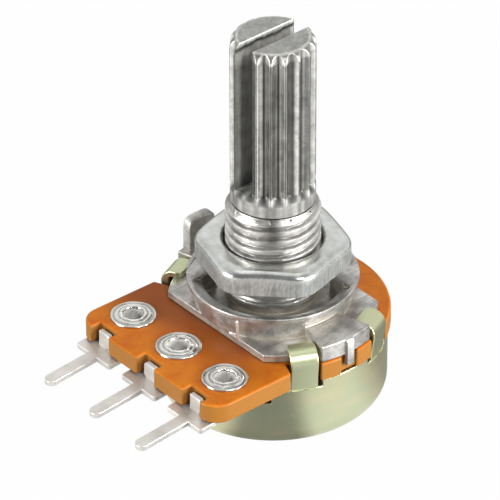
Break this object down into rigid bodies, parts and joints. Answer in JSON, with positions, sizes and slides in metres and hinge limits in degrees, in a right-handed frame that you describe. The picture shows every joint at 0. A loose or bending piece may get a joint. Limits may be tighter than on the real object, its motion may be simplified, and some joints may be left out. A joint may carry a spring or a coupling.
{
  "type": "rotary potentiometer",
  "caption": "Round panel-mount potentiometer with a splined slotted shaft, threaded bushing, hexagon nut and three flat solder terminals on a phenolic board.",
  "frame": {"origin": "centre of the can's flat back face, on the shaft's axis", "axes": "+Z along the shaft towards its slotted end, -Y towards the terminals, the locating lug on -X"},
  "size_m": [0.0168, 0.0246, 0.0287],
  "materials": {
    "passivated_steel": "yellow passivated",
    "phenolic": "orange phenolic paper",
    "carbon_print": "matt carbon ink",
    "silver_print": "matt silver ink",
    "zinc_casting": "as-cast zinc, lightly tumbled",
    "nickel_nut": "nickel plated, stamped",
    "turned_steel": "plated, turned and rolled",
    "spring_steel": "oiled",
    "tinned_strip": "matt tin",
    "tinned_eyelet": "bright tin",
    "moulded_carrier": "natural moulded",
    "bronze_spring": "bright bronze strip"
  },
  "bodies": {
    "housing": {"rear_cover": "passivated_steel", "element_board": "phenolic", "carbon_track": "carbon_print", "end_pad_left": "silver_print", "end_pad_right": "silver_print", "collector_ring": "silver_print", "front_plate": "zinc_casting", "terminal_left": "tinned_strip", "terminal_middle": "tinned_strip", "terminal_right": "tinned_strip", "eyelet_left": "tinned_eyelet", "eyelet_middle": "tinned_eyelet", "eyelet_right": "tinned_eyelet"},
    "spindle": {"shaft": "turned_steel", "retaining_clip": "spring_steel", "rotor": "moulded_carrier", "wiper": "bronze_spring"},
    "nut": {"mounting_nut": "nickel_nut"}
  },
  "joints": [
    {"name": "shaft_turn", "type": "hinge", "parent": "housing", "child": "spindle", "pos_m": [0, 0, 0.012], "axis": [0, 0, 1], "range_deg": [-156.5, 143.5]},
    {"name": "nut_travel", "type": "slide", "parent": "housing", "child": "nut", "axis": [0, 0, 1], "range_m": [-0.00108, 0.0046]}
  ]
}
